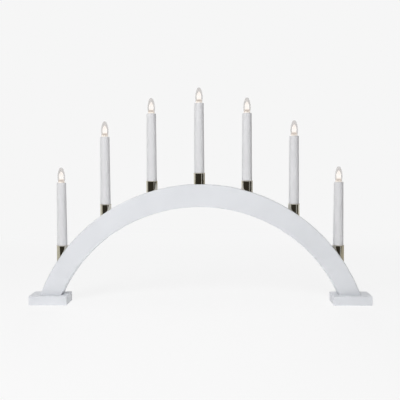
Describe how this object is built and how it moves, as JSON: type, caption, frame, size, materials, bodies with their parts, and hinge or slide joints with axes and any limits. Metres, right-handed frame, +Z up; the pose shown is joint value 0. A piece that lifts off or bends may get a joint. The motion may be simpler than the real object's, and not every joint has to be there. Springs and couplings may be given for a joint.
{
  "type": "candle arch",
  "caption": "Electric candle arch: a white painted wooden arch on two feet, carrying a row of white candles in polished nickel-plated cups, each with a screw-in bulb.",
  "frame": {"origin": "on the floor under the middle of the crown", "axes": "+X along the arch to the right seen from the front, +Y to the back, +Z up"},
  "size_m": [0.65, 0.05, 0.4114],
  "materials": {
    "painted_wood": "satin white paint",
    "cup_nickel": "nickel plated and polished",
    "candle_plastic": "moulded, satin",
    "holder_plastic": "moulded",
    "socket_brass": "stamped",
    "nickel_cap": "nickel plated",
    "bulb_glass": "clear",
    "lit_core": "opal, lit warm white",
    "zinc_steel": "zinc plated",
    "cover_strip": "white strip",
    "wire_jacket": "white wire",
    "tinned_copper": "tinned",
    "inlet_bush": "moulded white"
  },
  "bodies": {
    "stand": {"arch": "painted_wood", "left_foot": "painted_wood", "right_foot": "painted_wood", "foot_screws": "zinc_steel", "wire_cover": "cover_strip", "wire_loom": "wire_jacket", "lead_crimps": "tinned_copper", "cord_grommet": "inlet_bush", "screw_shells": "socket_brass", "contact_barrels": "socket_brass", "candle_cup_1": "cup_nickel", "candle_sleeve_1": "candle_plastic", "lampholder_1": "holder_plastic", "candle_cup_2": "cup_nickel", "candle_sleeve_2": "candle_plastic", "lampholder_2": "holder_plastic", "candle_cup_3": "cup_nickel", "candle_sleeve_3": "candle_plastic", "lampholder_3": "holder_plastic", "candle_cup_4": "cup_nickel", "candle_sleeve_4": "candle_plastic", "lampholder_4": "holder_plastic", "candle_cup_5": "cup_nickel", "candle_sleeve_5": "candle_plastic", "lampholder_5": "holder_plastic", "candle_cup_6": "cup_nickel", "candle_sleeve_6": "candle_plastic", "lampholder_6": "holder_plastic", "candle_cup_7": "cup_nickel", "candle_sleeve_7": "candle_plastic", "lampholder_7": "holder_plastic"},
    "contact_1": {"contact_1": "socket_brass"},
    "bulb_1": {"bulb_cap_1": "nickel_cap", "bulb_glass_1": "bulb_glass", "bulb_light_1": "lit_core"},
    "contact_2": {"contact_2": "socket_brass"},
    "bulb_2": {"bulb_cap_2": "nickel_cap", "bulb_glass_2": "bulb_glass", "bulb_light_2": "lit_core"},
    "contact_3": {"contact_3": "socket_brass"},
    "bulb_3": {"bulb_cap_3": "nickel_cap", "bulb_glass_3": "bulb_glass", "bulb_light_3": "lit_core"},
    "contact_4": {"contact_4": "socket_brass"},
    "bulb_4": {"bulb_cap_4": "nickel_cap", "bulb_glass_4": "bulb_glass", "bulb_light_4": "lit_core"},
    "contact_5": {"contact_5": "socket_brass"},
    "bulb_5": {"bulb_cap_5": "nickel_cap", "bulb_glass_5": "bulb_glass", "bulb_light_5": "lit_core"},
    "contact_6": {"contact_6": "socket_brass"},
    "bulb_6": {"bulb_cap_6": "nickel_cap", "bulb_glass_6": "bulb_glass", "bulb_light_6": "lit_core"},
    "contact_7": {"contact_7": "socket_brass"},
    "bulb_7": {"bulb_cap_7": "nickel_cap", "bulb_glass_7": "bulb_glass", "bulb_light_7": "lit_core"}
  },
  "joints": [
    {"name": "contact_1_lift", "type": "slide", "parent": "stand", "child": "contact_1", "axis": [0, 0, 1], "range_m": [0, 0.00182]},
    {"name": "bulb_1_turn", "type": "hinge", "parent": "contact_1", "child": "bulb_1", "pos_m": [-0.2641, 0, 0.23355], "axis": [0, 0, 1], "range_deg": [0, 360]},
    {"name": "contact_2_lift", "type": "slide", "parent": "stand", "child": "contact_2", "axis": [0, 0, 1], "range_m": [0, 0.00182]},
    {"name": "bulb_2_turn", "type": "hinge", "parent": "contact_2", "child": "bulb_2", "pos_m": [-0.17961, 0, 0.32085], "axis": [0, 0, 1], "range_deg": [0, 360]},
    {"name": "contact_3_lift", "type": "slide", "parent": "stand", "child": "contact_3", "axis": [0, 0, 1], "range_m": [0, 0.00182]},
    {"name": "bulb_3_turn", "type": "hinge", "parent": "contact_3", "child": "bulb_3", "pos_m": [-0.09058, 0, 0.36432], "axis": [0, 0, 1], "range_deg": [0, 360]},
    {"name": "contact_4_lift", "type": "slide", "parent": "stand", "child": "contact_4", "axis": [0, 0, 1], "range_m": [0, 0.00182]},
    {"name": "bulb_4_turn", "type": "hinge", "parent": "contact_4", "child": "bulb_4", "pos_m": [0, 0, 0.38362], "axis": [0, 0, 1], "range_deg": [0, 360]},
    {"name": "contact_5_lift", "type": "slide", "parent": "stand", "child": "contact_5", "axis": [0, 0, 1], "range_m": [0, 0.00182]},
    {"name": "bulb_5_turn", "type": "hinge", "parent": "contact_5", "child": "bulb_5", "pos_m": [0.09058, 0, 0.36432], "axis": [0, 0, 1], "range_deg": [0, 360]},
    {"name": "contact_6_lift", "type": "slide", "parent": "stand", "child": "contact_6", "axis": [0, 0, 1], "range_m": [0, 0.00182]},
    {"name": "bulb_6_turn", "type": "hinge", "parent": "contact_6", "child": "bulb_6", "pos_m": [0.17961, 0, 0.32085], "axis": [0, 0, 1], "range_deg": [0, 360]},
    {"name": "contact_7_lift", "type": "slide", "parent": "stand", "child": "contact_7", "axis": [0, 0, 1], "range_m": [0, 0.00182]},
    {"name": "bulb_7_turn", "type": "hinge", "parent": "contact_7", "child": "bulb_7", "pos_m": [0.2641, 0, 0.23355], "axis": [0, 0, 1], "range_deg": [0, 360]}
  ],
  "couplings": [
    {"joint": "contact_1_lift", "follows": "bulb_1_turn", "m_per_rad": 0.00028871},
    {"joint": "contact_2_lift", "follows": "bulb_2_turn", "m_per_rad": 0.00028871},
    {"joint": "contact_3_lift", "follows": "bulb_3_turn", "m_per_rad": 0.00028871},
    {"joint": "contact_4_lift", "follows": "bulb_4_turn", "m_per_rad": 0.00028871},
    {"joint": "contact_5_lift", "follows": "bulb_5_turn", "m_per_rad": 0.00028871},
    {"joint": "contact_6_lift", "follows": "bulb_6_turn", "m_per_rad": 0.00028871},
    {"joint": "contact_7_lift", "follows": "bulb_7_turn", "m_per_rad": 0.00028871}
  ]
}
